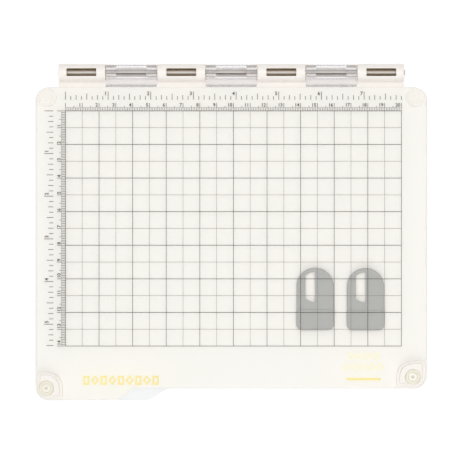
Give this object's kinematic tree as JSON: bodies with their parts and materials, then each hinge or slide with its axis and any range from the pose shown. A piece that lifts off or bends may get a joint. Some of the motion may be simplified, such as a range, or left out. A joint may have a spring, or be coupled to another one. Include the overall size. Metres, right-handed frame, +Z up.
{
  "type": "hinged stamping platform",
  "caption": "Flat moulded base with a clear hinged lid on a rod hinge, front corner posts, rubber feet and flat magnets that hold paper under the lid.",
  "frame": {"origin": "centre of the base's underside, on the surface that the feet stand on", "axes": "+X to the right along the hinge, +Y towards the hinge rail at the back, +Z up"},
  "size_m": [0.234, 0.2004, 0.0184],
  "materials": {
    "cream_plastic": "satin moulded",
    "cover_plastic": "fine spark-eroded texture",
    "post_plastic": "satin moulded",
    "clear_plastic": "polished clear",
    "ivory_nylon": "natural",
    "bumper_silicone": "clear satin",
    "foot_rubber": "matte",
    "rod_steel": "drawn and lightly polished",
    "sheet_steel": "cold rolled",
    "screw_steel": "zinc plated",
    "grey_plastic": "satin moulded",
    "magnet_nickel": "nickel plated",
    "pad_rubber": "matte foam rubber"
  },
  "bodies": {
    "base": {"base_top_shell": "cream_plastic", "steel_sheet": "sheet_steel", "bottom_cover": "cover_plastic", "foot_front_left": "foot_rubber", "foot_front_right": "foot_rubber", "foot_rear_left": "foot_rubber", "foot_rear_right": "foot_rubber", "cover_screw_1": "screw_steel", "cover_screw_2": "screw_steel", "cover_screw_3": "screw_steel", "cover_screw_4": "screw_steel", "cover_screw_5": "screw_steel", "cover_screw_6": "screw_steel", "front_post_left": "post_plastic", "front_post_right": "post_plastic", "post_rivet_left": "ivory_nylon", "post_rivet_right": "ivory_nylon", "rivet_pin_left": "ivory_nylon", "rivet_pin_right": "ivory_nylon", "rear_bumper_left": "bumper_silicone", "rear_bumper_right": "bumper_silicone"},
    "lid": {"lid": "clear_plastic"},
    "rod": {"hinge_rod": "rod_steel"},
    "magnet_left": {"magnet_left_body": "grey_plastic", "magnet_left_disc_1": "magnet_nickel", "magnet_left_disc_2": "magnet_nickel", "magnet_left_pad": "pad_rubber"},
    "magnet_right": {"magnet_right_body": "grey_plastic", "magnet_right_disc_1": "magnet_nickel", "magnet_right_disc_2": "magnet_nickel", "magnet_right_pad": "pad_rubber"}
  },
  "joints": [
    {"name": "lid_hinge", "type": "hinge", "parent": "base", "child": "lid", "pos_m": [0, 0.0952, 0.0134], "axis": [-1, 0, 0], "range_deg": [0, 180]},
    {"name": "rod_slide", "type": "slide", "parent": "base", "child": "rod", "axis": [1, 0, 0], "range_m": [0, 0.206]},
    {"name": "magnet_left_slide", "type": "slide", "parent": "base", "child": "magnet_left", "axis": [-1, 0, 0], "range_m": [0, 0.14]},
    {"name": "magnet_right_slide", "type": "slide", "parent": "base", "child": "magnet_right", "axis": [0, 1, 0], "range_m": [0, 0.085]}
  ]
}
